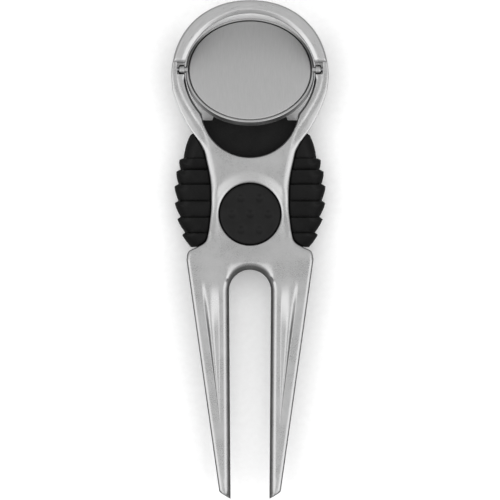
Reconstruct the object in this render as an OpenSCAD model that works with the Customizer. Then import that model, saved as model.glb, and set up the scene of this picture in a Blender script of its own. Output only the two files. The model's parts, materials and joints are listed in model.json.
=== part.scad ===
// Divot repair tool with a tilting ball-marker dish.
// Millimetres. The tool lies on its back: face to +Z, head to +Y, prongs to -Y.
// Origin: middle of the footprint, on the surface that the tool rests on.

/* [Overall] */
// Length from the crown of the head to the prong tips
tool_length = 92.4; // [90:0.2:95]
// Width of the round head
head_width = 29.1; // [28.8:0.1:29.6]
// Height of the frame's front face above the resting surface
front_height = 9.6; // [9.4:0.1:10.2]
// Thickness of the cast frame
frame_thickness = 4; // [3.6:0.1:4.2]

/* [Marker dish] */
// Diameter of the ball marker
marker_diameter = 22.4; // [21.6:0.1:22.5]
// Thickness of the ball marker
marker_thickness = 0.9; // [0.8:0.05:0.95]
// Outer diameter of the dish
dish_diameter = 23.8; // [23.6:0.05:23.85]
// Depth of the dish from rim to underside
dish_depth = 1.6; // [1.5:0.05:1.8]
// Angle between the dish and the face, open
dish_tilt = 34; // [0:1:36]
// Height of the dish's pivot above the resting surface
pivot_height = 8.6; // [8.5:0.05:8.8]

/* [Fork] */
// Width of the slot between the prongs at its root
slot_width = 7.76; // [7.2:0.04:8.2]
// Width of the slot between the prong tips
slot_tip_width = 7.2; // [6.8:0.1:7.7]
// Thickness of the prongs at their tips
tip_thickness = 1.8; // [1.4:0.1:2.4]

/* [Grip] */
// Width across the ribs of the two grip pads
grip_width = 28.1; // [27:0.1:28.6]
// Distance between ribs
rib_pitch = 3.06; // [2.8:0.02:3.4]
// Depth of the grooves between ribs
rib_depth = 0.7; // [0.3:0.05:1]
// Diameter of the round badge in the waist
badge_diameter = 11.34; // [10.6:0.02:11.6]

/* [Hidden] */

$fn = 96;
satin = "silver";
steel = "lightsteelblue";
black = "#222222";
hard_black = "#181818";

// Longer than the tool is thick, for openings that go right through
through = 20;

// Levels above the resting surface
frame_back = front_height - frame_thickness;
cover_top = 1.6;
hood_seat = 9.1;
hood_top = 10.7;
pad_top = 8.7;
badge_top = 9.25;

// Head: a slightly squared ellipse
half_length = tool_length / 2;
head_a = head_width / 2;
head_b = 14.4;
head_y = half_length - head_b;
head_power = 2.15;

// Marker dish and its pivot
pivot_y = 33.35;
dish_r = dish_diameter / 2;
recess_r = dish_r - 0.45;
recess_depth = marker_thickness + 0.02;
dish_fillet = 0.5;
boss_r = 5.2;
boss_depth = 2.9;
magnet_r = 4;
magnet_thickness = 1.3;
trunnion_r = 0.88;
trunnion_in = 12.15;
trunnion_out = 13.2;
neck_r = 0.55;
pin_r = 0.4;
pin_bore_r = 0.45;
pin_in = 12.25;
pin_out = 14.4;
pocket_in = 11.9;
pocket_out = 13.5;
pocket_low = 32.45;
pocket_high = 34.7;
pocket_depth = 1.15;
trunnion_chamfer = 0.2;

// Openings of the frame
ring_r = dish_r + 0.2;
window_r = 8.97;
window_y = 26.1;
badge_y = 6.6;
badge_post_r = 3;
badge_post = 1;
badge_hole_r = badge_diameter / 2 + 0.05;
slot_r = slot_width / 2;
slot_y = -7.6;

// Prongs: where they start to get thinner, and how far their tips sit above mid thickness
thins_from = -4;
tip_rise = 0.1;

// Hood
hood_inset = 0.15;
hood_inner_r = 12.5;
hood_inner_y = 31.36;
hood_end_y = pocket_high;

// Fasteners
rivet_r = 0.45;
rivet_head_r = 0.75;
rivet_head = 0.4;
rivet_top = 10;
// Each rivet: angle about the pivot, and distance from it
rivet_sites = [[22, 13.2], [52, 12.8], [128, 12.8], [158, 13.2]];
screw_r = 0.8;
screw_hole_r = 0.9;
screw_head_r = 1.6;
screw_head = 0.9;
// How far the screw heads lie below the back, and the play round them
sunk = 0.1;
screw_end = 8.2;
screw_sites = [[5, 14], [-5, 14], [8.2, -1], [-8.2, -1]];

// Grip
grip_r = 21.3;
grip_y = 10.5;
grip_top = 21.6;
grip_low = 0.1;
pad_inner = 7.05;
first_rib_y = 11.75;
tongue_low = 2.8;
tongue_high = 4.4;
tongue_x = 8.6;
tongue_y = 3.2;
tongue_length = 15;
gap = 0.05;

// A smooth curve through points p, with n steps between each pair
function bend(a, b, c, d, t) =
    0.5 * ((2 * b) + (c - a) * t + (2 * a - 5 * b + 4 * c - d) * t * t
           + (3 * b - a - 3 * c + d) * t * t * t);
function at(p, i) = p[max(0, min(len(p) - 1, i))];
function smooth(p, n) = concat(
    [for (i = [0 : len(p) - 2], k = [0 : n - 1])
        bend(at(p, i - 1), at(p, i), at(p, i + 1), at(p, i + 2), k / n)],
    [p[len(p) - 1]]);
function mirrored(p) = concat(p, [for (i = [len(p) - 1 : -1 : 0]) [-p[i].x, p[i].y]]);

// A quarter and a bit of the head's outline, from the crown to its widest point
function head_arc(inset) = [for (k = [0 : 2 : 90])
    [(head_a - inset) * pow(sin(k), 2 / head_power),
     head_y + (head_b - inset) * pow(cos(k), 2 / head_power)]];

// Right side of the frame below the head's widest point
flank = smooth([[14.34, 29.6], [13.73, 27.75], [12.99, 25.9], [12.06, 24.05], [11, 22.2], [9.6, 20.35],
                [8.6, 18.5], [8.12, 16.65], [7.4, 12.95], [7.2, 8.9], [7.4, 5.55], [8.05, 1.9],
                [9.7, 0.55], [11.35, -0.3], [11.75, -1.85]], 3);
prong_outer = [[5.7, -44.75], [5.5, -45]];
prong_tip = [slot_tip_width / 2, -half_length];

module frame_outline() {
    polygon(mirrored(concat(head_arc(0), flank, prong_outer, [prong_tip])));
}

module slot_outline() {
    translate([0, slot_y]) circle(slot_r);
    polygon([[slot_r, slot_y], [slot_tip_width / 2, -half_length - 1],
             [-slot_tip_width / 2, -half_length - 1], [-slot_r, slot_y]]);
}

// Side view of the frame, which thins towards the prong tips
module frame_side() {
    tip = frame_back + frame_thickness / 2 + tip_rise;
    polygon([[half_length + 1, frame_back], [half_length + 1, front_height], [thins_from, front_height],
             [-half_length, tip + tip_thickness / 2], [-half_length, tip - tip_thickness / 2],
             [thins_from, frame_back]]);
}

module bar(r, low, high) {
    translate([0, 0, low]) cylinder(r = r, h = high - low);
}

module along_x(from, to, r) {
    translate([from, 0, 0]) rotate([0, 90, 0]) cylinder(r = r, h = to - from);
}

module at_rivets() {
    for (s = rivet_sites)
        translate([s[1] * cos(s[0]), pivot_y + s[1] * sin(s[0]), 0]) children();
}

module at_screws() {
    for (s = screw_sites) translate([s.x, s.y, 0]) children();
}

// Cast fork, arms and ring
// The whole metal body: fork, waist, arms and ring
module body() {
    difference() {
        intersection() {
            translate([0, 0, frame_back]) linear_extrude(frame_thickness) frame_outline();
            translate([-head_width, 0, 0]) rotate([90, 0, 90])
                linear_extrude(2 * head_width) frame_side();
        }
        translate([0, pivot_y, 0]) bar(ring_r, 0, through);
        translate([0, window_y, 0]) bar(window_r, 0, through);
        translate([0, badge_y, 0]) bar(badge_hole_r, 0, through);
        linear_extrude(through) slot_outline();
        // Seat for the hood
        translate([-head_width, hood_end_y, hood_seat]) cube([2 * head_width, through, through]);
        // Pockets for the trunnions, and the pins' holes
        for (side = [0, 1]) mirror([side, 0, 0]) {
            translate([pocket_in, pocket_low, pivot_height - pocket_depth])
                cube([pocket_out - pocket_in, pocket_high - pocket_low, through]);
            translate([0, pivot_y, pivot_height]) along_x(pocket_in, head_width, pin_r);
        }
        at_rivets() {
            bar(rivet_r, 0, through);
            bar(rivet_head_r, 0, frame_back + rivet_head);
        }
        at_screws() bar(screw_r, 0, screw_end + 0.2);
    }
}

module above_pivot() {
    translate([-head_width, hood_end_y, 0]) cube([2 * head_width, through, through]);
}

module frame() {
    color(satin)
    difference() {
        body();
        above_pivot();
    }
}

// The arc of the ring that carries the hood
module ring_back() {
    color(satin)
    intersection() {
        body();
        above_pivot();
    }
}

// Brushed arc over the top of the ring
module hood() {
    color(satin)
    difference() {
        translate([0, 0, hood_seat]) linear_extrude(hood_top - hood_seat)
            polygon(mirrored(head_arc(hood_inset)));
        translate([0, hood_inner_y, 0]) bar(hood_inner_r, 0, through);
        translate([-head_width, -half_length, 0])
            cube([2 * head_width, half_length + hood_end_y, through]);
        at_rivets() bar(rivet_r, 0, rivet_top);
    }
}

module hood_rivets() {
    color(steel)
    at_rivets() {
        bar(rivet_r, frame_back, rivet_top);
        bar(rivet_head_r, frame_back, frame_back + rivet_head);
    }
}

module pivot_pin(side) {
    color(steel) mirror([side, 0, 0])
    translate([0, pivot_y, pivot_height]) along_x(pin_in, pin_out, pin_r);
}

// Black plastic core behind the frame: the panel in the window and the tongues for the pads
module core_outline() {
    polygon(mirrored([[0, 24.9], [6.7, 24.9], [7, 24.05], [9.3, 24.05], [9.6, 21], [7, 18.6], [7, 2.2],
                      [10, 0.3], [10, -2.6], [0, -2.6]]));
}

module core() {
    color(hard_black)
    difference() {
        union() {
            translate([0, 0, cover_top]) linear_extrude(frame_back - cover_top) core_outline();
            translate([-tongue_x, tongue_y, tongue_low])
                cube([2 * tongue_x, tongue_length, tongue_high - tongue_low]);
            // Post that centres the badge
            translate([0, badge_y, 0]) bar(badge_post_r, cover_top, frame_back + badge_post);
        }
        at_screws() bar(screw_hole_r, 0, through);
    }
}

// Flat back that the tool rests on
module back_cover() {
    color(hard_black)
    difference() {
        linear_extrude(cover_top) core_outline();
        at_screws() {
            bar(screw_hole_r, -1, through);
            bar(screw_head_r + sunk, -1, screw_head + sunk);
        }
    }
}

module back_screws() {
    color(steel)
    at_screws() {
        bar(screw_head_r, sunk, screw_head + sunk);
        bar(screw_r, screw_head / 2, screw_end);
    }
}

// Outer edge of the ribbed grip at height y up the tool
function groove(y) = rib_depth * (0.5 - 0.5 * cos(360 * (y - first_rib_y) / rib_pitch));
function grip_edge(y) = grip_width / 2 - grip_r + sqrt(grip_r * grip_r - pow(y - grip_y, 2)) - groove(y);

module pad_outline() {
    steps = 70;
    polygon(concat([[0, grip_low], [9.6, grip_low]],
                   [for (k = [0 : steps]) let (y = grip_low + 0.3 + k * (grip_top - grip_low - 0.6) / steps)
                       [grip_edge(y), y]],
                   [[10.4, grip_top], [0, grip_top]]));
}

module grip_pad(side) {
    color(black) mirror([side, 0, 0])
    difference() {
        linear_extrude(pad_top) pad_outline();
        translate([-1, -1, -1]) cube([pad_inner + 1, 30, 20]);
        translate([0, 0, frame_back]) linear_extrude(through) frame_outline();
        linear_extrude(frame_back) core_outline();
        translate([0, tongue_y - gap, tongue_low - gap])
            cube([tongue_x + gap, tongue_length + 2 * gap, tongue_high - tongue_low + 2 * gap]);
        at_screws() bar(screw_head_r + sunk, -1, cover_top + sunk);
    }
}

// Dimpled rubber disc seated in the waist
module badge() {
    dimple_r = 2.2;
    dimple_depth = 0.22;
    dimple_circle = 3.4;
    dimple_z = badge_top + dimple_r - dimple_depth;
    color(black)
    difference() {
        translate([0, badge_y, 0]) bar(badge_diameter / 2, frame_back, badge_top);
        translate([0, badge_y, 0]) {
            bar(badge_post_r + gap, 0, frame_back + badge_post);
            for (a = [0 : 60 : 300])
                translate([dimple_circle * cos(a), dimple_circle * sin(a), dimple_z])
                    sphere(dimple_r, $fn = 32);
            translate([0, 0, dimple_z]) sphere(dimple_r, $fn = 32);
        }
    }
}

// What turns on the pivot, drawn level with the face, then tilted open
module on_dish() {
    translate([0, pivot_y, pivot_height]) rotate([-dish_tilt, 0, 0]) children();
}

module dish_body() {
    c = dish_fillet;
    rotate_extrude()
        polygon([[0, -boss_depth], [boss_r - 0.3, -boss_depth], [boss_r, 0.3 - boss_depth],
                 [boss_r, -dish_depth], [dish_r - c, -dish_depth], [dish_r - 0.15, 0.15 - dish_depth + c / 2],
                 [dish_r, c - dish_depth], [dish_r, -0.12], [dish_r - 0.12, 0], [recess_r, 0],
                 [recess_r, -recess_depth], [magnet_r + gap, -recess_depth],
                 [magnet_r + gap, -recess_depth - magnet_thickness - gap],
                 [0, -recess_depth - magnet_thickness - gap]]);
}

module marker_dish() {
    color(satin)
    on_dish()
    difference() {
        union() {
            dish_body();
            for (side = [0, 1]) mirror([side, 0, 0]) {
                along_x(recess_r + 0.1, trunnion_in + 0.1, neck_r);
                along_x(trunnion_in, trunnion_out - trunnion_chamfer, trunnion_r);
                translate([trunnion_out - trunnion_chamfer, 0, 0]) rotate([0, 90, 0])
                    cylinder(r1 = trunnion_r, r2 = trunnion_r - trunnion_chamfer, h = trunnion_chamfer);
            }
        }
        for (side = [0, 1]) mirror([side, 0, 0]) along_x(trunnion_in, trunnion_out + 1, pin_bore_r);
    }
}

module marker_magnet() {
    color(steel)
    on_dish() bar(magnet_r, -recess_depth - magnet_thickness, -recess_depth);
}

module ball_marker() {
    r = marker_diameter / 2;
    edge = 0.12;
    color(satin)
    on_dish() rotate_extrude()
        polygon([[0, -marker_thickness], [r - edge, -marker_thickness], [r, edge - marker_thickness],
                 [r, -edge], [r - edge, 0], [0, 0]]);
}

frame();
ring_back();
hood();
hood_rivets();
pivot_pin(1);  // pivot_pin_left
pivot_pin(0);  // pivot_pin_right
core();
back_cover();
back_screws();
grip_pad(1);  // grip_pad_left
grip_pad(0);  // grip_pad_right
badge();
marker_dish();
marker_magnet();
ball_marker();
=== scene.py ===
"""Divot repair tool: the looks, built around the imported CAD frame.

Lengths are in millimetres, as in the CAD, until add_mesh() turns them into metres.
The tool lies face up (+Z), head towards +Y, and is the same on both sides of x = 0.
"""
import json
import math

import bpy
import numpy as np
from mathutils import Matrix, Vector
from mathutils.geometry import delaunay_2d_cdt


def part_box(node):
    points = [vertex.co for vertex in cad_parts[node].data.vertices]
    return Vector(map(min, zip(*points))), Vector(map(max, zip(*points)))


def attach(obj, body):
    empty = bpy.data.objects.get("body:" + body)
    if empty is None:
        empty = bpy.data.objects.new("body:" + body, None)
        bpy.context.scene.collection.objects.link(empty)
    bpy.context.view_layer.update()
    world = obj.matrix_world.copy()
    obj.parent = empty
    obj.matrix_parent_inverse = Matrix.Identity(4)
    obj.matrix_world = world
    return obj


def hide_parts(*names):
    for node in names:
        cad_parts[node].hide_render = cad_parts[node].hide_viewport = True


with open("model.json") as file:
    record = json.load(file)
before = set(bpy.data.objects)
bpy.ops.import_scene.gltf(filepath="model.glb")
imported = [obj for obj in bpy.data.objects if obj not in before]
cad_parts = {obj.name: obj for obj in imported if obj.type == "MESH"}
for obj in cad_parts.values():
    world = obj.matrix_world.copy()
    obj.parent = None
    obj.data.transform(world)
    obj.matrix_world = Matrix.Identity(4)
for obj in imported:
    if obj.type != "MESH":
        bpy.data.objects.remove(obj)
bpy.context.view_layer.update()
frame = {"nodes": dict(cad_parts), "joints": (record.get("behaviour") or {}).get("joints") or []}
MM = 0.001
SHARP_ANGLE = 35  # degrees between two faces from which their edge is kept sharp
CHUNK = 2000  # points handled at a time, to spare memory
ARC_STEP = 0.2


def box(node):
    """Lowest and highest corner of a CAD node, in millimetres."""
    low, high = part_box(node)
    return np.array(low) / MM, np.array(high) / MM


# ---------------------------------------------------------------- sizes, from the frame
FRAME_LOW, FRAME_HIGH = box("frame")
BACK, FRONT = FRAME_LOW[2], FRAME_HIGH[2]
_, RING_BACK_HIGH = box("ring_back")
HALF_LENGTH = RING_BACK_HIGH[1]
HEAD_A = FRAME_HIGH[0]
HOOD_LOW, HOOD_HIGH = box("hood")
PAD_LOW, PAD_HIGH = box("grip_pad_right")
BADGE_LOW, BADGE_HIGH = box("badge")
joint = {j["name"]: j for j in frame["joints"]}
PIVOT = np.array(joint["dish_tilt"]["pos_m"]) / MM
TILT = math.radians(-joint["dish_tilt"]["range_deg"][0])

# ---------------------------------------------------------------- sizes, as in the CAD
HEAD_B = 14.4
HEAD_Y = HALF_LENGTH - HEAD_B
HEAD_POWER = 2.15
FLANK = [(14.34, 29.6), (13.73, 27.75), (12.99, 25.9), (12.06, 24.05), (11, 22.2),
         (9.6, 20.35), (8.6, 18.5), (8.12, 16.65), (7.4, 12.95), (7.2, 8.9), (7.4, 5.55),
         (8.05, 1.9), (9.7, 0.55), (11.35, -0.3), (11.75, -1.85)]
PRONG_END = [(5.7, -44.75), (5.5, -45)]
SLOT_R = 3.88
SLOT_TIP = 3.6
SLOT_Y = -7.6
TIP_THICKNESS = 1.8
TIP_RISE = 0.1
THINS_FROM = -4
RING_R = 12.1
WINDOW_R, WINDOW_Y = 8.97, 26.1
BADGE_Y = 6.6
BADGE_HOLE_R = 5.72
HOOD_INSET = 0.15
HOOD_Y = 31.36
HOOD_END = HOOD_LOW[1]
POCKET = (11.9, 13.5, 32.45, HOOD_END)  # the right trunnion pocket: x0, x1, y0, y1
POCKET_FLOOR = PIVOT[2] - 1.15
DISH_R, DISH_DEPTH = 11.9, 1.6
RECESS_R, RECESS_DEPTH = 11.45, 0.92
BOSS_R, BOSS_DEPTH = 5.2, 2.9
MAGNET_R, MAGNET_DEPTH = 4.05, 2.27
TRUNNION_R, TRUNNION_IN, TRUNNION_OUT = 0.88, 12.15, 13.2
NECK_R = 0.55
COIN_R, COIN_THICKNESS = 11.2, 0.9
GRIP_R, GRIP_Y, GRIP_HALF = 21.3, 10.5, 14.05
RIB_DEPTH = 0.7
PAD_INNER = 7.05
PIN_BORE_R = 0.45
SCREWS = [(5, 14), (-5, 14), (8.2, -1), (-8.2, -1)]
SCREW_R, SCREW_HEAD_R, SCREW_HEAD = 0.8, 1.6, 0.9

# ---------------------------------------------------------------- sizes of the looks alone
HOOD_R = 12.38  # 12.5 in the CAD
LEDGES = (22.3, 17.0, 14.9, 12.2, 9.1, 6.1, 3.2, 0.2, -2.5)  # evenly spaced ribs in the CAD
PAD_ROUND, SCALE_DEPTH = 2.3, 0.8
DIMPLE_R, DIMPLE_DEPTH, DIMPLE_RING_R = 0.8, 0.3, 3.4
SCREW_FACE_R, SCREW_ROUND = 1.1, 0.35
SCREW_POINT, SCREW_POINT_R = 0.6, 0.2
CROSS_HALF_LENGTH, CROSS_HALF_WIDTH, CROSS_DEPTH = 0.95, 0.17, 0.55


# ---------------------------------------------------------------- curves in the plane
def smooth(points, steps):
    """A Catmull-Rom curve through points."""
    p = np.array(points, float)
    p = np.vstack([p[:1], p, p[-1:]])
    out = []
    for i in range(1, len(p) - 2):
        a, b, c, d = p[i - 1], p[i], p[i + 1], p[i + 2]
        for t in np.arange(steps) / steps:
            out.append(0.5 * (2 * b + (c - a) * t + (2 * a - 5 * b + 4 * c - d) * t * t
                              + (3 * b - a - 3 * c + d) * t ** 3))
    return np.vstack([out, p[-2:-1]])


def even(points, step, closed=False):
    """The polyline with points every step or so."""
    p = np.array(points, float)
    if closed:
        p = np.vstack([p, p[:1]])
    run = np.r_[0, np.cumsum(np.linalg.norm(np.diff(p, axis=0), axis=1))]
    count = max(2, int(round(run[-1] / step)) + 1)
    s = np.linspace(0, run[-1], count)
    q = np.c_[np.interp(s, run, p[:, 0]), np.interp(s, run, p[:, 1])]
    return q[:-1] if closed else q


def mirrored(points):
    """The right half of a closed outline, from top to bottom, with its left half."""
    p = np.array(points, float)
    left = p[::-1] * [-1, 1]
    loop = np.vstack([p, left])
    keep = np.linalg.norm(loop - np.roll(loop, 1, axis=0), axis=1) > 1e-6
    return loop[keep]


def arc(centre, r, start, end):
    """Points along an arc, angles in degrees."""
    count = max(3, int(abs(math.radians(end - start)) * r / ARC_STEP))
    a = np.radians(np.linspace(start, end, count))
    return np.c_[centre[0] + r * np.cos(a), centre[1] + r * np.sin(a)]


def head_arc(inset=0.0, count=90):
    """The right half of the head's outer edge, from its top to its widest point."""
    k = np.linspace(0, math.pi / 2, count)
    return np.c_[(HEAD_A - inset) * np.sin(k) ** (2 / HEAD_POWER),
                 HEAD_Y + (HEAD_B - inset) * np.cos(k) ** (2 / HEAD_POWER)]


def distance(points, line, closed=False):
    """Distance from each point to a polyline."""
    a = np.array(line, float)
    b = np.roll(a, -1, axis=0)
    if not closed:
        a, b = a[:-1], b[:-1]
    ab = b - a
    length2 = np.maximum((ab ** 2).sum(1), 1e-12)
    out = np.empty(len(points))
    for i in range(0, len(points), CHUNK):
        p = points[i:i + CHUNK, None, :]
        t = np.clip(((p - a) * ab).sum(2) / length2, 0, 1)
        out[i:i + CHUNK] = np.sqrt(((p - (a + t[..., None] * ab)) ** 2).sum(2).min(1))
    return out


def inside(points, loop):
    """True for the points inside a closed loop."""
    a = np.array(loop, float)
    b = np.roll(a, -1, axis=0)
    out = np.zeros(len(points), bool)
    for i in range(0, len(points), CHUNK):
        x, y = points[i:i + CHUNK, 0, None], points[i:i + CHUNK, 1, None]
        spans = (a[:, 1] > y) != (b[:, 1] > y)
        rise = np.where(np.abs(b[:, 1] - a[:, 1]) < 1e-12, 1e-12, b[:, 1] - a[:, 1])
        cross = x < (b[:, 0] - a[:, 0]) * (y - a[:, 1]) / rise + a[:, 0]
        out[i:i + CHUNK] = (spans & cross).sum(1) % 2 == 1
    return out


def between(x, low, high):
    """0 below low, 1 above high, with a smooth step between them."""
    t = np.clip((x - low) / (high - low), 0, 1)
    return t * t * (3 - 2 * t)


def rounded(d, r):
    """How far a surface has dropped at distance d from an edge with a quarter-round of radius r."""
    e = np.clip(1 - d / r, 0, 1)
    return r * (1 - np.sqrt(1 - e * e))


def chamfered(d, width, angle):
    """The same for a flat bevel of that width, at angle degrees to the face."""
    return np.clip(width - d, 0, None) * np.tan(np.radians(angle))


# ---------------------------------------------------------------- meshes
def add_mesh(name, verts, faces, body, slot, material, replaces=()):
    """A piece that moves with body; with body None it belongs to the stage."""
    mesh = bpy.data.meshes.new(name)
    mesh.from_pydata((np.asarray(verts, float) * MM).tolist(), [],
                     [list(map(int, f)) for f in faces])
    mesh.validate()
    mesh.shade_smooth()
    mesh.set_sharp_from_angle(angle=math.radians(SHARP_ANGLE))
    piece = bpy.data.objects.new(name, mesh)
    bpy.context.scene.collection.objects.link(piece)
    mesh.materials.append(material)
    if body:
        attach(piece, body)
    if replaces:
        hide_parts(*replaces)
    return piece


# Rows of mesh points beside an outline, as shares of the fine edge's width
RINGS = (0.03, 0.13, 0.29, 0.5, 0.74, 1.0)
RING_KEEP = 0.93  # a point goes if an outline is nearer than this share of its row's distance
GRID_KEEP = 1.12  # the grid starts at this many widths of the fine edge
ROW_HEIGHT = 0.866  # of a grid of even triangles
MERGE = 0.012


def plate_mesh(loops, top, bottom, grid, edge, edge_step=0.2, extra=None, skip=None):
    """Vertices and faces of a closed plate. loops: the outline and then its holes; top and bottom:
    functions from points to heights; edge: how far in from the loops the mesh is kept fine; extra:
    points laid along features; skip: tells which grid points give way to them."""
    loops = [even(loop, edge_step, closed=True) for loop in loops]
    rim = np.vstack(loops)
    constraints, start = [], 0
    for loop in loops:
        n = len(loop)
        constraints += [(start + i, start + (i + 1) % n) for i in range(n)]
        start += n

    def in_plate(p):
        ok = inside(p, loops[0])
        for hole in loops[1:]:
            ok &= ~inside(p, hole)
        return ok

    inner = []
    for share in RINGS:
        for loop in loops:
            along = np.roll(loop, -1, axis=0) - np.roll(loop, 1, axis=0)
            along /= np.maximum(np.linalg.norm(along, axis=1), 1e-9)[:, None]
            across = np.c_[-along[:, 1], along[:, 0]]
            for side in (1, -1):
                p = loop + side * share * edge * across
                p = p[in_plate(p)]
                near = np.min([distance(p, other, closed=True) for other in loops], axis=0)
                inner.append(p[near > RING_KEEP * share * edge])
    low, high = loops[0].min(0), loops[0].max(0)
    xs = np.arange(low[0], high[0], grid)
    ys = np.arange(low[1], high[1], grid * ROW_HEIGHT)
    gx, gy = np.meshgrid(xs, ys)
    gx = gx + (np.arange(len(ys)) % 2)[:, None] * grid / 2
    p = np.c_[gx.ravel(), gy.ravel()]
    if skip is not None:
        p = p[~skip(p)]
    if extra is not None:
        p = np.vstack([p, extra])
    p = p[in_plate(p)]
    near = np.min([distance(p, loop, closed=True) for loop in loops], axis=0)
    inner.append(p[near > edge * GRID_KEEP])
    p = np.vstack(inner)
    cell = np.round(p / MERGE).astype(int)
    _, first = np.unique(cell, axis=0, return_index=True)
    p = p[np.sort(first)]
    points = np.vstack([rim, p])
    out = delaunay_2d_cdt([Vector(q) for q in points], constraints, [], 2, 1e-5)
    flat = np.array([tuple(v) for v in out[0]])
    tris = np.array([f for f in out[2] if len(f) == 3])
    middle = flat[tris].mean(1)
    tris = tris[in_plate(middle)]
    a, b, c = flat[tris[:, 0]], flat[tris[:, 1]], flat[tris[:, 2]]
    ab, ac = b - a, c - a
    area = ab[:, 0] * ac[:, 1] - ab[:, 1] * ac[:, 0]
    tris[area < 0] = tris[area < 0][:, ::-1]
    used = np.unique(tris)
    index = np.full(len(flat), -1)
    index[used] = np.arange(len(used))
    flat, tris = flat[used], index[tris]
    n = len(flat)
    verts = np.vstack([np.c_[flat, top(flat)], np.c_[flat, bottom(flat)]])
    directed = {(int(t[i]), int(t[(i + 1) % 3])) for t in tris for i in range(3)}
    walls = [(b, a, a + n, b + n) for a, b in directed if (b, a) not in directed]
    faces = [tuple(t) for t in tris] + [tuple(t[::-1] + n) for t in tris] + walls
    return verts, faces


def lathe_mesh(profile, count, centre=(0, 0, 0)):
    """A closed turned solid about Z, of count segments.

    profile: (radius, height) from the axis at the bottom to the axis at the top."""
    verts, rings, faces = [], [], []
    for r, z in profile:
        if r < 1e-9:
            rings.append([len(verts)])
            verts.append((centre[0], centre[1], centre[2] + z))
        else:
            rings.append(list(range(len(verts), len(verts) + count)))
            a = np.arange(count) * 2 * math.pi / count
            verts += list(zip(centre[0] + r * np.cos(a), centre[1] + r * np.sin(a),
                              np.full(count, centre[2] + z)))
    for low, high in zip(rings, rings[1:]):
        for i in range(count):
            k = (i + 1) % count
            if len(low) == 1:
                faces.append((low[0], high[k], high[i]))
            elif len(high) == 1:
                faces.append((low[i], low[k], high[0]))
            else:
                faces.append((low[i], low[k], high[k], high[i]))
    return np.array(verts), faces


def corner(r0, z0, radius, start, end, steps=6):
    """Points of a rounded corner in a lathe profile, about its centre (r0, z0)."""
    return [(r0 + radius * math.cos(math.radians(a)), z0 + radius * math.sin(math.radians(a)))
            for a in np.linspace(start, end, steps)]


def joined(*parts):
    """Several (vertices, faces) as one."""
    verts, faces, start = [], [], 0
    for v, f in parts:
        verts.append(np.asarray(v, float))
        faces += [tuple(i + start for i in face) for face in f]
        start += len(v)
    return np.vstack(verts), faces


def cut(piece, cutter_mesh):
    """Takes a closed solid out of a piece."""
    verts, faces = cutter_mesh
    mesh = bpy.data.meshes.new("cutter")
    mesh.from_pydata((np.asarray(verts, float) * MM).tolist(), [], faces)
    cutter = bpy.data.objects.new("cutter", mesh)
    bpy.context.scene.collection.objects.link(cutter)
    boolean = piece.modifiers.new("cut", "BOOLEAN")
    boolean.operation = "DIFFERENCE"
    boolean.solver = "EXACT"
    boolean.object = cutter
    evaluated = piece.evaluated_get(bpy.context.evaluated_depsgraph_get())
    result = bpy.data.meshes.new_from_object(evaluated)
    piece.modifiers.clear()
    result.shade_smooth()
    result.set_sharp_from_angle(angle=math.radians(SHARP_ANGLE))
    piece.data = result
    bpy.data.objects.remove(cutter)


def block(low, high):
    """A box as vertices and faces."""
    (x0, y0, z0), (x1, y1, z1) = low, high
    verts = [(x0, y0, z0), (x1, y0, z0), (x1, y1, z0), (x0, y1, z0),
             (x0, y0, z1), (x1, y0, z1), (x1, y1, z1), (x0, y1, z1)]
    faces = [(0, 3, 2, 1), (4, 5, 6, 7), (0, 1, 5, 4),
             (1, 2, 6, 5), (2, 3, 7, 6), (3, 0, 4, 7)]
    return np.array(verts, float), faces


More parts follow.
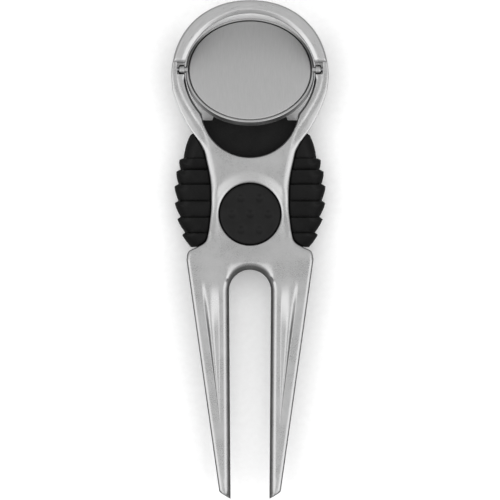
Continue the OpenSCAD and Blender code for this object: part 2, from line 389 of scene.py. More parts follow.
# ---------------------------------------------------------------- materials
class Nodes:
    """A material's node tree, with short calls to add to it."""

    def __init__(self, name):
        self.material = bpy.data.materials.new(name)
        self.material.use_nodes = True
        self.tree = self.material.node_tree
        self.shader = self.tree.nodes["Principled BSDF"]
        self.place = self.add("ShaderNodeTexCoord").outputs["Object"]

    def add(self, kind, **settings):
        node = self.tree.nodes.new(kind)
        for key, value in settings.items():
            setattr(node, key, value)
        return node

    def link(self, source, target):
        self.tree.links.new(source, target)

    def math(self, operation, a, b=None):
        node = self.add("ShaderNodeMath", operation=operation)
        for socket, value in zip(node.inputs, (a, b)):
            if value is None:
                continue
            if isinstance(value, (int, float)):
                socket.default_value = value
            else:
                self.link(value, socket)
        return node.outputs[0]

    def scaled(self, source, scale):
        node = self.add("ShaderNodeMapping")
        node.inputs["Scale"].default_value = scale
        self.link(source, node.inputs["Vector"])
        return node.outputs[0]

    def noise(self, source, scale, detail, roughness=0.55):
        node = self.add("ShaderNodeTexNoise")
        node.inputs["Scale"].default_value = scale
        node.inputs["Detail"].default_value = detail
        node.inputs["Roughness"].default_value = roughness
        self.link(source, node.inputs["Vector"])
        return node.outputs["Fac"]

    def spread(self, source, low, high):
        """Maps a texture's 0.3..0.7 to low..high."""
        node = self.add("ShaderNodeMapRange")
        node.inputs["From Min"].default_value = 0.3
        node.inputs["From Max"].default_value = 0.7
        node.inputs["To Min"].default_value = low
        node.inputs["To Max"].default_value = high
        self.link(source, node.inputs["Value"])
        return node.outputs[0]

    def painted_wall_shade(self, gentle, steep, at_gentle, at_steep):
        """Painted shade: at_gentle on faces that lie flat, at_steep on walls, which are painted
        darker than the flat faces.

        gentle and steep are the Z of the normal from and up to which that holds."""
        parts = self.add("ShaderNodeSeparateXYZ")
        self.link(self.tree.nodes["Texture Coordinate"].outputs["Normal"], parts.inputs[0])
        node = self.add("ShaderNodeMapRange", interpolation_type="SMOOTHSTEP")
        node.inputs["From Min"].default_value = steep
        node.inputs["From Max"].default_value = gentle
        node.inputs["To Min"].default_value = at_steep
        node.inputs["To Max"].default_value = at_gentle
        self.link(parts.outputs["Z"], node.inputs["Value"])
        return node.outputs[0]

    def grey(self, source, dark, light):
        """Base colour between two greys by a 0..1 value."""
        node = self.add("ShaderNodeMix", data_type="RGBA")
        node.inputs["A"].default_value = (*dark, 1)
        node.inputs["B"].default_value = (*light, 1)
        self.link(source, node.inputs["Factor"])
        self.link(node.outputs["Result"], self.shader.inputs["Base Color"])

    def bump(self, height, distance, strength):
        node = self.add("ShaderNodeBump")
        node.inputs["Strength"].default_value = strength
        node.inputs["Distance"].default_value = distance
        self.link(height, node.inputs["Height"])
        self.link(node.outputs[0], self.shader.inputs["Normal"])


def satin_metal():
    """Die-cast body under satin nickel: soft gloss, faint blasted grain, slightly uneven sheen, and
    painted shade that darkens the steep walls.
    """
    n = Nodes("satin_nickel")
    n.shader.inputs["Metallic"].default_value = 1
    grain = n.noise(n.place, scale=9000, detail=4, roughness=0.6)
    cloud = n.noise(n.place, scale=260, detail=3)
    # random tone times the painted shade that darkens steep walls
    face = n.math("MULTIPLY", n.spread(cloud, 0.9, 1),
                  n.painted_wall_shade(gentle=0.82, steep=0.5, at_gentle=1, at_steep=0.42))
    n.grey(n.math("MULTIPLY", face, n.spread(grain, 0.9, 1.04)),
           dark=(0, 0, 0), light=(0.7, 0.7, 0.7))
    rough = n.math("ADD", n.spread(grain, -0.05, 0.05), n.spread(cloud, 0.27, 0.34))
    n.link(rough, n.shader.inputs["Roughness"])
    n.bump(n.math("ADD", grain, n.math("MULTIPLY", cloud, 0.6)),
           distance=0.000012, strength=0.5)
    return n.material


STRETCH = 0.045  # scratches are this much finer across than along
TURN_SCALE = 0.0006  # metres of texture per radian round the centre
SCRATCH_SHADE = 0.86
ROUGH_BAND = 0.06


def brushed_metal(name, straight=True, centre=(0, 0), metal=1.0, light=0.76, rough_to=0.36):
    """Brushed nickel: fine scratches along Y, or round a centre."""
    n = Nodes(name)
    n.shader.inputs["Metallic"].default_value = metal
    if straight:
        lines = n.scaled(n.place, (1, STRETCH, STRETCH))
    else:
        shift = n.add("ShaderNodeMapping")
        shift.inputs["Location"].default_value = (-centre[0] * MM, -centre[1] * MM, 0)
        n.link(n.place, shift.inputs["Vector"])
        parts = n.add("ShaderNodeSeparateXYZ")
        n.link(shift.outputs[0], parts.inputs[0])
        radius = n.math("SQRT", n.math("ADD", n.math("POWER", parts.outputs["X"], 2),
                                       n.math("POWER", parts.outputs["Y"], 2)))
        turn = n.math("ARCTAN2", parts.outputs["Y"], parts.outputs["X"])
        both = n.add("ShaderNodeCombineXYZ")
        n.link(radius, both.inputs["X"])
        n.link(n.math("MULTIPLY", turn, TURN_SCALE), both.inputs["Y"])
        lines = both.outputs[0]
    scratch = n.noise(lines, scale=9000, detail=5, roughness=0.65)
    cloud = n.noise(n.place, scale=300, detail=2)
    dark = light * SCRATCH_SHADE
    n.grey(n.spread(scratch, 0, 1), (dark, dark, dark), (light, light, light))
    rough = n.math("ADD", n.spread(scratch, -0.07, 0.07),
                   n.spread(cloud, rough_to - ROUGH_BAND, rough_to))
    n.link(rough, n.shader.inputs["Roughness"])
    n.bump(scratch, distance=0.00002, strength=0.5)
    return n.material


def plated_steel():
    """Zinc plating on screws, rivets and pins, slightly uneven."""
    n = Nodes("plated_steel")
    n.shader.inputs["Metallic"].default_value = 1
    speck = n.noise(n.place, scale=5000, detail=4)
    n.grey(n.spread(speck, 0, 1), (0.5, 0.51, 0.53), (0.64, 0.65, 0.67))
    n.link(n.spread(speck, 0.22, 0.36), n.shader.inputs["Roughness"])
    n.bump(speck, distance=0.00001, strength=0.4)
    return n.material


def magnet_nickel():
    """Bright nickel on a magnet, with a slight orange-peel."""
    n = Nodes("magnet_nickel")
    n.shader.inputs["Metallic"].default_value = 1
    peel = n.noise(n.place, scale=2500, detail=2)
    n.grey(n.spread(peel, 0, 1), (0.72, 0.72, 0.73), (0.8, 0.8, 0.81))
    n.link(n.spread(peel, 0.1, 0.2), n.shader.inputs["Roughness"])
    n.bump(peel, distance=0.00001, strength=0.4)
    return n.material


def black_rubber(name, dark, light, shine):
    """Moulded rubber: matt, with a fine skin and rubbed lighter patches."""
    n = Nodes(name)
    skin = n.noise(n.place, scale=6500, detail=4, roughness=0.6)
    patch = n.noise(n.place, scale=420, detail=3)
    n.grey(n.spread(patch, 0, 1), (dark, dark, dark), (light, light, light))
    n.link(n.math("ADD", n.spread(skin, -0.08, 0.08), n.spread(patch, 0.38, 0.52)),
           n.shader.inputs["Roughness"])
    n.shader.inputs["Specular IOR Level"].default_value = shine
    n.bump(n.math("ADD", skin, n.math("MULTIPLY", patch, 0.8)),
           distance=0.00004, strength=0.7)
    return n.material


def black_plastic():
    """Moulded plastic with a spark-eroded matt texture."""
    n = Nodes("black_plastic")
    cells = n.add("ShaderNodeTexVoronoi")
    cells.inputs["Scale"].default_value = 4200
    n.link(n.place, cells.inputs["Vector"])
    patch = n.noise(n.place, scale=300, detail=3)
    n.grey(n.spread(patch, 0, 1), (0.004, 0.004, 0.004), (0.008, 0.008, 0.008))
    n.link(n.spread(patch, 0.38, 0.5), n.shader.inputs["Roughness"])
    n.shader.inputs["Specular IOR Level"].default_value = 0.2
    n.bump(cells.outputs["Distance"], distance=0.00003, strength=0.5)
    return n.material


SATIN = satin_metal()
COIN_METAL = brushed_metal("marker_steel", metal=0.35, light=0.49, rough_to=0.6)
HOOD_METAL = brushed_metal("brushed_nickel", straight=False, centre=(0, HOOD_Y))
STEEL = plated_steel()
MAGNET = magnet_nickel()
RUBBER = black_rubber("black_rubber", dark=0.0015, light=0.004, shine=0.22)
BADGE_RUBBER = black_rubber("badge_rubber", dark=0.004, light=0.007, shine=0.24)
PLASTIC = black_plastic()


# ---------------------------------------------------------------- the cast frame
FLANK_LINE = np.vstack([head_arc(), smooth(FLANK, 6), PRONG_END])
SLOT_LINE = np.vstack([[(SLOT_TIP, -HALF_LENGTH), (SLOT_R, SLOT_Y)],
                       arc((0, SLOT_Y), SLOT_R, 0, 90)[1:]])
# The height y at which the ring's circle and the window's circle meet
APART = PIVOT[1] - WINDOW_Y
WINDOW_CROSS = PIVOT[1] - (RING_R ** 2 - WINDOW_R ** 2 + APART ** 2) / (2 * APART)
RING_ANGLE = math.degrees(math.asin((WINDOW_CROSS - PIVOT[1]) / RING_R))
WINDOW_ANGLE = math.degrees(math.asin((WINDOW_CROSS - WINDOW_Y) / WINDOW_R))
WINDOW_LINE = np.vstack([arc((0, PIVOT[1]), RING_R, 90, RING_ANGLE),
                         arc((0, WINDOW_Y), WINDOW_R, WINDOW_ANGLE, -90)[1:]])
# The bevel along the outside of ring, arms and waist: height y, width, slope in degrees
BEVEL = np.array([(34.8, 0.75, 4), (32.6, 0.7, 6), (31.8, 0.7, 9), (29.6, 0.95, 9),
                  (27.75, 1.05, 8), (25.9, 1.35, 7), (24.05, 1.5, 7), (22.2, 1.5, 6),
                  (20.35, 0.95, 7), (18.5, 0.55, 38), (13, 0.55, 42), (8, 0.55, 42),
                  (4, 0.45, 38), (2.4, 0.2, 34)])[::-1]
BEVEL_R = 0.16
BEVEL_FADES = (1.6, 3.2)  # y over which the prongs' round edge becomes the bevel
EDGE_R, TIP_R, WINDOW_EDGE_R, BADGE_EDGE_R, BACK_R = 0.55, 0.35, 0.3, 0.45, 0.5
MESH_EDGE = 1.25
# Chamfer along the fork's slot, wider round its upper end
SLOT_CHAMFER, SLOT_CHAMFER_MORE, SLOT_ANGLE, SLOT_EDGE_R = 0.75, 0.35, 50, 0.2
SLOT_WIDENS = (-7, -3.8)
# Flutes: distance from the prong's outer edge and from the slot, depth by width, y where they end
FLUTE_OUTER, FLUTE_INNER = 1.9, 1.85
FLUTE_DEPTH, FLUTE_WIDEST = 0.31, 3.0
FLUTE_FADES, FLUTE_FADE_POWER = (-15, -3), 1.5
# Soft crease inside the bevel
CREASE_DEPTH, CREASE_WIDTH = 0.1, 0.26
# Chamfer beside the dish, which the CAD doesn't have
WALL_CHAMFER, WALL_ANGLE, WALL_TO = 0.4, 45, 31.2
# Shallow hollow round the badge's hole
HOLLOW_DEPTH, HOLLOW_FADES = 0.3, (0.1, 2.4)
BACK_RISE = 1.2  # how much more the back rises towards the tips than the face falls


def flute(d_outer, d_slot, y):
    """Depth of the scoop down each prong: a steep outer wall and a long inner slope."""
    width = d_outer + d_slot - FLUTE_OUTER - FLUTE_INNER
    t = np.clip((d_outer - FLUTE_OUTER) / np.maximum(width, 0.05), 0, 1)
    shape = np.interp(t, [0, 0.05, 0.08, 0.22, 0.27, 0.36, 0.48, 0.58, 0.94, 1],
                      [0, 0.02, 0.1, 0.84, 0.94, 1, 0.98, 0.88, 0.1, 0])
    depth = FLUTE_DEPTH * np.clip(width, 0, FLUTE_WIDEST)
    return shape * depth * (1 - between(y, *FLUTE_FADES)) ** FLUTE_FADE_POWER


def frame_face(y):
    """Height of the frame's front plane, lower towards the prong tips."""
    middle = (BACK + FRONT) / 2 + TIP_RISE
    fall = (FRONT - middle - TIP_THICKNESS / 2) / (HALF_LENGTH + THINS_FROM)
    run = np.clip(THINS_FROM - y, 0, None)
    return FRONT - fall * run * run / (run + 2)


def frame_top(p):
    """Height of the frame's front, with bevels, flutes and rounded edges."""
    q = np.c_[np.abs(p[:, 0]), p[:, 1]]
    y = q[:, 1]
    d_outer = distance(q, FLANK_LINE)
    d_slot = distance(q, SLOT_LINE)
    d_tip = distance(q, [PRONG_END[-1], (SLOT_TIP, -HALF_LENGTH)])
    d_window = distance(q, WINDOW_LINE)
    d_badge = np.hypot(q[:, 0], y - BADGE_Y) - BADGE_HOLE_R
    width = np.interp(y, BEVEL[:, 0], BEVEL[:, 1])
    angle = np.interp(y, BEVEL[:, 0], BEVEL[:, 2])
    arm = between(y, *BEVEL_FADES)
    z = frame_face(y)
    crease = np.exp(-((d_outer - width - CREASE_WIDTH / 2) / CREASE_WIDTH) ** 2)
    z -= arm * (chamfered(d_outer, width, angle) + rounded(d_outer, BEVEL_R)
                + CREASE_DEPTH * crease)
    z -= (1 - arm) * rounded(d_outer, EDGE_R)
    slot_width = SLOT_CHAMFER + SLOT_CHAMFER_MORE * between(y, *SLOT_WIDENS)
    slot_edge = chamfered(d_slot, slot_width, SLOT_ANGLE) + rounded(d_slot, SLOT_EDGE_R)
    z -= np.where(y < 0, slot_edge, 0)
    z -= rounded(d_tip, TIP_R)
    z -= rounded(d_window, WINDOW_EDGE_R)
    beside_dish = between(y, WINDOW_CROSS - 1, WINDOW_CROSS + 0.5)
    beside_dish = beside_dish * (1 - between(y, WALL_TO, POCKET[2]))
    z -= beside_dish * chamfered(d_window, WALL_CHAMFER, WALL_ANGLE)
    z -= rounded(d_badge, BADGE_EDGE_R) + HOLLOW_DEPTH * (1 - between(d_badge, *HOLLOW_FADES))
    z -= np.where(y < 0, flute(d_outer, d_slot, y), 0)
    return z


def frame_bottom(p):
    """Height of the frame's back, higher towards the prong tips."""
    q = np.c_[np.abs(p[:, 0]), p[:, 1]]
    d = np.min([distance(q, line) for line in (FLANK_LINE, SLOT_LINE, WINDOW_LINE)], axis=0)
    d = np.minimum(d, np.hypot(q[:, 0], q[:, 1] - BADGE_Y) - BADGE_HOLE_R)
    return BACK + (FRONT - frame_face(q[:, 1])) * BACK_RISE + rounded(d, BACK_R)


ROWS_FROM = -2.5  # rows across the prongs below this y, lines along the flank above it
LINES_TO = 2.4
LINE_STEP, LINE_GAP, ROW_GAP = 0.25, 0.11, 0.26
# Points across a flute, closer on its steep outer wall
FLUTE_SHARES = np.r_[np.arange(0, 0.36, 0.03), np.arange(0.36, 0.6, 0.06),
                     np.arange(0.6, 1.01, 0.05)]


def feature_points():
    """Mesh points in rows along the bevels of the arms and the flutes of the prongs."""
    flank = even(FLANK_LINE[FLANK_LINE[:, 1] > ROWS_FROM], LINE_STEP)
    along = np.gradient(flank, axis=0)
    along /= np.linalg.norm(along, axis=1)[:, None]
    inward = np.c_[along[:, 1], -along[:, 0]]
    points = [flank + d * inward for d in np.arange(EDGE_R + 0.1, LINES_TO, LINE_GAP)]
    order = np.argsort(FLANK_LINE[:, 1])
    for y in np.arange(-HALF_LENGTH + 0.5, ROWS_FROM, ROW_GAP):
        out = np.interp(y, FLANK_LINE[order, 1], FLANK_LINE[order, 0])
        slot = np.interp(y, [-HALF_LENGTH, SLOT_Y], [SLOT_TIP, SLOT_R])
        width = out - slot
        d = np.r_[np.arange(EDGE_R + 0.1, FLUTE_OUTER, 0.25),
                  FLUTE_OUTER + FLUTE_SHARES * max(width - FLUTE_OUTER - FLUTE_INNER, 0.05),
                  width - np.arange(EDGE_R + 0.05, FLUTE_INNER, 0.2)]
        d = np.unique(np.round(d[(d > EDGE_R) & (d < width - EDGE_R)], 3))
        points.append(np.c_[out - d, np.full(len(d), y)])
    p = np.vstack(points)
    p = p[p[:, 0] > 0.2]
    return np.vstack([p, p * [-1, 1]])


def near_features(p):
    """True where the rows of feature_points() take the place of the grid."""
    q = np.c_[np.abs(p[:, 0]), p[:, 1]]
    return (q[:, 1] < ROWS_FROM) | (distance(q, FLANK_LINE) < LINES_TO + 0.05)


ABOVE = 20  # a height above everything


def make_frame():
    outline = mirrored(np.vstack([FLANK_LINE, SLOT_LINE]))
    window = mirrored(WINDOW_LINE)
    badge = arc((0, BADGE_Y), BADGE_HOLE_R, 0, 360)[:-1]
    verts, faces = plate_mesh([outline, window, badge], frame_top, frame_bottom,
                              grid=0.4, edge=MESH_EDGE, extra=feature_points(), skip=near_features)
    piece = add_mesh("frame_casting", verts, faces, "tool", "satin_nickel", SATIN,
                     ["frame", "ring_back"])
    x0, x1, y0, y1 = POCKET
    far = 3 * HEAD_A
    pockets = [block((low_x, y0, POCKET_FLOOR), (high_x, y1, ABOVE))
               for low_x, high_x in ((x0, x1), (-x1, -x0))]
    cut(piece, joined(*pockets))
    cut(piece, block((-far, HOOD_END, HOOD_LOW[2]), (far, HALF_LENGTH + 5, ABOVE)))


# ---------------------------------------------------------------- the hood
HOOD_BEVEL, HOOD_ANGLE = 0.72, 25
HOOD_END_BEVEL, HOOD_END_ANGLE = 0.5, 24
HOOD_EDGE_R, HOOD_OUTER_R = 0.15, 0.4


def make_hood():
    outer = head_arc(HOOD_INSET, 240)
    outer = outer[outer[:, 1] > HOOD_END]
    end_outer = (outer[-1][0], HOOD_END)
    end_inner_x = math.sqrt(HOOD_R ** 2 - (HOOD_END - HOOD_Y) ** 2)
    start = math.degrees(math.atan2(HOOD_END - HOOD_Y, end_inner_x))
    inner = arc((0, HOOD_Y), HOOD_R, start, 90)
    outline = mirrored(np.vstack([outer, [end_outer], inner]))
    ends = [end_outer, (end_inner_x, HOOD_END)]

    def top(p):
        q = np.c_[np.abs(p[:, 0]), p[:, 1]]
        d_outer, d_inner, d_end = distance(q, outer), distance(q, inner), distance(q, ends)
        z = HOOD_HIGH[2] - chamfered(d_inner, HOOD_BEVEL, HOOD_ANGLE)
        z -= rounded(d_inner, HOOD_EDGE_R)
        z -= rounded(d_outer, HOOD_OUTER_R)
        return z - chamfered(d_end, HOOD_END_BEVEL, HOOD_END_ANGLE) - rounded(d_end, HOOD_EDGE_R)

    verts, faces = plate_mesh([outline], top, lambda p: np.full(len(p), HOOD_LOW[2]),
                              grid=0.3, edge=0.75)
    add_mesh("hood_arc", verts, faces, "tool", "brushed_nickel", HOOD_METAL, ["hood"])


# ---------------------------------------------------------------- dish, magnet and marker
def tilted(verts):
    """Points drawn about the pivot with the dish level, turned to the rest tilt and moved there."""
    c, s = math.cos(-TILT), math.sin(-TILT)
    v = np.asarray(verts, float)
    return np.c_[v[:, 0], v[:, 1] * c - v[:, 2] * s, v[:, 1] * s + v[:, 2] * c] + PIVOT


def sideways(mesh, side):
    """A lathe solid with its axis along X instead of Z."""
    verts, faces = mesh
    v = np.asarray(verts, float)
    turned = np.c_[side * v[:, 2], v[:, 1], -side * v[:, 0]]
    return turned, faces


def make_dish():
    """The tray and its trunnions, with rounded edges and the seat for the magnet."""
    floor = -RECESS_DEPTH
    # Radii of the roundings
    boss, fillet, below, lip, fine, end = 0.3, 0.25, 0.5, 0.16, 0.1, 0.35
    profile = [(0, -BOSS_DEPTH), (BOSS_R - boss, -BOSS_DEPTH)]
    profile += corner(BOSS_R - boss, boss - BOSS_DEPTH, boss, -75, 0)
    profile += corner(BOSS_R + fillet, -DISH_DEPTH - fillet, fillet, 180, 90, 5)
    profile += corner(DISH_R - below, below - DISH_DEPTH, below, -90, 0, 9)
    profile += corner(DISH_R - lip, -lip, lip, 0, 90)
    profile += corner(RECESS_R + fine, -fine, fine, 90, 180, 5)
    profile += corner(RECESS_R - fine, floor + fine, fine, 0, -90, 4)
    profile += [(MAGNET_R, floor), (MAGNET_R, -MAGNET_DEPTH), (0, -MAGNET_DEPTH)]
    neck_from, neck_to = RECESS_R + 0.1, TRUNNION_IN + 0.05
    neck = lathe_mesh([(0, neck_from), (NECK_R, neck_from), (NECK_R, neck_to), (0, neck_to)], 32)
    r = TRUNNION_R
    head = lathe_mesh([(PIN_BORE_R, TRUNNION_OUT), (PIN_BORE_R, TRUNNION_IN),
                       (r - fine, TRUNNION_IN)]
                      + corner(r - fine, TRUNNION_IN + fine, fine, -70, 0, 4)
                      + corner(r - end, TRUNNION_OUT - end, end, 0, 90, 7)
                      + [(PIN_BORE_R, TRUNNION_OUT)], 48)
    parts = [lathe_mesh(profile, 256)]
    for side in (1, -1):
        parts += [sideways(neck, side), sideways(head, side)]
    verts, faces = joined(*parts)
    add_mesh("dish_tray", tilted(verts), faces, "dish", "satin_nickel", SATIN, ["marker_dish"])


def make_coin():
    r, t = COIN_R, COIN_THICKNESS
    below, lip = 0.12, 0.14  # radii of the roundings
    profile = [(0, -t)] + corner(r - below, below - t, below, -90, 0, 4)
    profile += corner(r - lip, -lip, lip, 0, 90)
    profile += [(r * k, 0) for k in (0.9, 0.6, 0.3)] + [(0, 0)]
    verts, faces = lathe_mesh(profile, 256)
    add_mesh("marker_disc", tilted(verts), faces, "marker", "marker_steel", COIN_METAL,
             ["ball_marker"])


# ---------------------------------------------------------------- grip
def scale_phase(y):
    """How far y is below the ledge above it: 0 at that ledge, 1 at the next one down."""
    ledges = np.array(LEDGES)
    k = np.clip(np.searchsorted(-ledges, -y, side="right") - 1, 0, len(ledges) - 2)
    return (ledges[k] - y) / (ledges[k] - ledges[k + 1])


LEDGE_SHARE, SCALE_POWER = 0.14, 1.4
STEP_SHARE = 0.05
PAD_GAP, PAD_END = 0.04, 0.3
PAD_INNER_R, PAD_BACK_R = 0.3, 0.5
# Where the core lies under the right pad's lower end
UNDER_PAD = [(7, 2.25), (10, 0.35), (10, -2.6), (6, -2.6), (6, 2.25)]
# Mesh rows above and below each ledge
LEDGE_ROWS = (-0.17, -0.11, -0.06, 0, 0.05, 0.12)
ROOT_LOW, ROOT_HIGH = (PAD_INNER + 0.02, 2.3, 0.06), (9.2, 18.5, 5.55)


def grip_edge(y):
    """Outer edge of the pad: scales that stand out below each ledge and narrow downwards."""
    t = scale_phase(y)
    below = ((t - LEDGE_SHARE) / (1 - LEDGE_SHARE)) ** SCALE_POWER
    narrow = np.where(t < LEDGE_SHARE, 1 - t / LEDGE_SHARE, below)
    return GRIP_HALF - GRIP_R + np.sqrt(GRIP_R ** 2 - (y - GRIP_Y) ** 2) - RIB_DEPTH * narrow


def make_pad(side, name):
    """A scaled rubber pad with its root in the grip; side: 1 right, -1 left."""
    low_y, high_y = PAD_LOW[1], PAD_HIGH[1]
    ys = np.arange(low_y + PAD_END, high_y - PAD_END, 0.08)
    outer = np.c_[grip_edge(ys), ys]
    flank = smooth(FLANK, 6)
    order = np.argsort(flank[:, 1])
    inner_y = np.arange(high_y - 0.05, low_y + PAD_END, -0.3)
    inner = np.c_[np.interp(inner_y, flank[order, 1], flank[order, 0]) + PAD_GAP, inner_y]
    outline = np.vstack([outer, inner]) * [side, 1]
    rim = outer * [side, 1]

    def top(p):
        d = distance(p, rim)
        t = scale_phase(p[:, 1])
        step = np.where(t < STEP_SHARE, 1 - t / STEP_SHARE, (t - STEP_SHARE) / (1 - STEP_SHARE))
        z = PAD_HIGH[2] - rounded(d, PAD_ROUND) - SCALE_DEPTH * step
        return z - rounded(distance(p, inner * [side, 1]), PAD_INNER_R)

    def bottom(p):
        q = np.c_[np.abs(p[:, 0]), p[:, 1]]
        low = np.where(inside(q, UNDER_PAD), BACK + 0.02, 0.01)
        return low + rounded(distance(p, rim), PAD_BACK_R)

    xs = np.arange(7, GRIP_HALF + 0.4, 0.2) * side
    rows = [(x, y + off) for y in LEDGES for off in LEDGE_ROWS for x in xs]
    verts, faces = plate_mesh([outline], top, bottom, grid=0.24, edge=0.6, edge_step=0.14,
                              extra=np.array(rows))
    corners, sides = block(ROOT_LOW, ROOT_HIGH)
    root = (corners * [side, 1, 1], sides if side > 0 else [f[::-1] for f in sides])
    add_mesh(name, *joined((verts, faces), root), "tool", "black_rubber", RUBBER,
             [name.replace("pad_rubber", "grip_pad")])


# ---------------------------------------------------------------- badge and fasteners
def make_badge():
    r = (BADGE_HIGH[0] - BADGE_LOW[0]) / 2
    ring = arc((0, BADGE_Y), r, 0, 360)[:-1]
    centres = [(0, BADGE_Y)]
    centres += [(DIMPLE_RING_R * math.cos(a), BADGE_Y + DIMPLE_RING_R * math.sin(a))
                for a in np.radians(np.arange(0, 360, 60))]

    def top(p):
        z = BADGE_HIGH[2] - rounded(r - np.hypot(p[:, 0], p[:, 1] - BADGE_Y), BADGE_EDGE_R)
        for x, y in centres:
            d = np.hypot(p[:, 0] - x, p[:, 1] - y)
            z -= DIMPLE_DEPTH * np.clip(1 - (d / DIMPLE_R) ** 2, 0, None)
        return z

    verts, faces = plate_mesh([ring], top, lambda p: np.full(len(p), BADGE_LOW[2] + 0.02),
                              grid=0.2, edge=0.45)
    add_mesh("badge_disc", verts, faces, "tool", "black_rubber", BADGE_RUBBER, ["badge"])


def make_screws():
    """Four screws from the back, each with a cross slot turned its own way."""
    low, high = box("back_screws")
    face, end = low[2], high[2]
    seat = face + SCREW_HEAD
    profile = [(0, face), (SCREW_FACE_R, face)]
    profile += corner(SCREW_HEAD_R - SCREW_ROUND, face + SCREW_ROUND, SCREW_ROUND, -90, 0, 5)
    profile += [(SCREW_HEAD_R, seat), (SCREW_R, seat), (SCREW_R, end - SCREW_POINT),
                (SCREW_POINT_R, end), (0, end)]
    verts, faces = joined(*[lathe_mesh(profile, 48, (x, y, 0)) for x, y in SCREWS])
    piece = add_mesh("screw_set", verts, faces, "tool", "steel", STEEL, ["back_screws"])
    v, f = block((-CROSS_HALF_LENGTH, -CROSS_HALF_WIDTH, face - 0.5),
                 (CROSS_HALF_LENGTH, CROSS_HALF_WIDTH, face + CROSS_DEPTH))
    for x, y in SCREWS:
        turn = math.radians(20 * x)
        for a in (turn, turn + math.pi / 2):
            c, k = math.cos(a), math.sin(a)
            cut(piece, (np.c_[v[:, 0] * c - v[:, 1] * k + x, v[:, 0] * k + v[:, 1] * c + y,
                              v[:, 2]], f))


def soften(node, width):
    """Rounds the edges of a CAD node."""
    bevel = frame["nodes"][node].modifiers.new("edges", "BEVEL")
    bevel.width = width * MM
    bevel.segments = 3
    bevel.limit_method = "ANGLE"
    bevel.angle_limit = math.radians(SHARP_ANGLE)
    bevel.harden_normals = True


# ---------------------------------------------------------------- floor, light and camera
FLOOR_GLOW = 0.1
FLOOR_DROP = 0.02  # below the tool, so that the two don't share a plane


def make_floor():
    size, steps = 900, 24
    xs = np.linspace(-size, size, steps)
    verts = [(x, y, -FLOOR_DROP) for y in xs for x in xs]
    corners = [j * steps + i for j in range(steps - 1) for i in range(steps - 1)]
    faces = [(k, k + 1, k + steps + 1, k + steps) for k in corners]
    n = Nodes("pale_floor")
    paper = n.noise(n.place, scale=900, detail=4)
    n.grey(n.spread(paper, 0, 1), (0.86, 0.86, 0.86), (0.9, 0.9, 0.9))
    n.shader.inputs["Roughness"].default_value = 0.8
    n.shader.inputs["Emission Color"].default_value = (1, 1, 1, 1)
    n.shader.inputs["Emission Strength"].default_value = FLOOR_GLOW
    n.bump(paper, distance=0.00005, strength=0.3)
    piece = add_mesh("floor", verts, faces, None, None, n.material)
    piece.visible_glossy = False


def softbox(name, azimuth, zenith, reach, size, power):
    """An area light of size (width, height), reach metres from the tool, turned to face it."""
    a, z = math.radians(azimuth), math.radians(zenith)
    towards = Vector((math.sin(z) * math.cos(a), math.sin(z) * math.sin(a), math.cos(z)))
    data = bpy.data.lights.new(name, "AREA")
    data.shape = "RECTANGLE"
    data.size, data.size_y = size
    data.energy = power
    light = bpy.data.objects.new(name, data)
    light.location = towards * reach
    light.rotation_mode = "QUATERNION"
    light.rotation_quaternion = towards.to_track_quat("Z", "Y")
    bpy.context.scene.collection.objects.link(light)
    return light


# The sky's light, how much it grows towards +Y, and its share below the horizon
SKY, SKY_SLOPE, UNDER_SKY = 0.51, 0.14, 0.5
HORIZON_FROM, HORIZON_TO = -0.25, 0.35
SOFTBOX_WATTS = 1.25
FLOOR_LIGHT_WATTS = 6.5


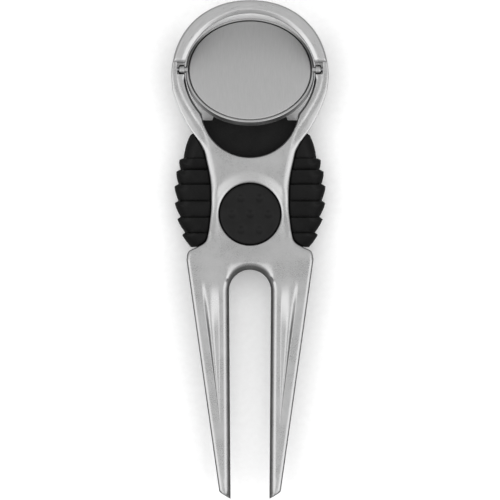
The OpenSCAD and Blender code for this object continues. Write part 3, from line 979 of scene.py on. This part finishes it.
def make_lights():
    world = bpy.data.worlds.new("studio")
    world.use_nodes = True
    tree = world.node_tree
    tree.nodes["Background"].inputs["Color"].default_value = (1, 1, 1, 1)
    parts = tree.nodes.new("ShaderNodeSeparateXYZ")
    tree.links.new(tree.nodes.new("ShaderNodeTexCoord").outputs["Generated"], parts.inputs[0])
    slope = tree.nodes.new("ShaderNodeMath")
    slope.operation = "MULTIPLY_ADD"
    slope.inputs[1].default_value = SKY_SLOPE
    slope.inputs[2].default_value = SKY
    tree.links.new(parts.outputs["Y"], slope.inputs[0])
    below = tree.nodes.new("ShaderNodeMapRange")
    below.interpolation_type = "SMOOTHSTEP"
    below.inputs["From Min"].default_value = HORIZON_FROM
    below.inputs["From Max"].default_value = HORIZON_TO
    below.inputs["To Min"].default_value = UNDER_SKY
    tree.links.new(parts.outputs["Z"], below.inputs["Value"])
    both = tree.nodes.new("ShaderNodeMath")
    both.operation = "MULTIPLY"
    tree.links.new(slope.outputs[0], both.inputs[0])
    tree.links.new(below.outputs[0], both.inputs[1])
    tree.links.new(both.outputs[0], tree.nodes["Background"].inputs["Strength"])
    bpy.context.scene.world = world
    for name, azimuth in (("left", 205), ("right", -25)):
        softbox(name, azimuth, zenith=42, reach=0.8, size=(0.55, 0.9), power=SOFTBOX_WATTS)
    above = softbox("floor_light", azimuth=90, zenith=0, reach=0.9, size=(1.2, 1.2),
                    power=FLOOR_LIGHT_WATTS)
    above.visible_glossy = False
    above.visible_camera = False


LENS, SENSOR = 350, 36
FIELD = 92.5  # length in the picture at the height of the face, a little over the tool's
CAMERA_Y = -0.05


def make_camera():
    """Straight down on the face, from far off, with the tool's length filling the frame."""
    data = bpy.data.cameras.new("camera")
    data.lens, data.sensor_width = LENS, SENSOR
    field = FIELD * MM
    height = field * data.lens / data.sensor_width
    camera = bpy.data.objects.new("camera", data)
    camera.location = (0, CAMERA_Y * MM, FRONT * MM + height)
    data.clip_end = 10
    bpy.context.scene.collection.objects.link(camera)
    bpy.context.scene.camera = camera


make_camera()
make_frame()
make_hood()
make_dish()
make_coin()
make_pad(1, "pad_rubber_right")
make_pad(-1, "pad_rubber_left")
make_badge()
make_screws()
# CAD nodes that stay as they are, apart from their material and softened edges
SOFTENED = (("pivot_pin_left", STEEL, 0.08), ("pivot_pin_right", STEEL, 0.08),
            ("hood_rivets", STEEL, 0.1), ("marker_magnet", MAGNET, 0.15),
            ("core", PLASTIC, 0.2), ("back_cover", PLASTIC, 0.25))
for node, material, width in SOFTENED:
    materials = frame["nodes"][node].data.materials
    materials.clear()
    materials.append(material)
    soften(node, width)
make_floor()
make_lights()
bpy.context.scene.view_settings.view_transform = "Standard"
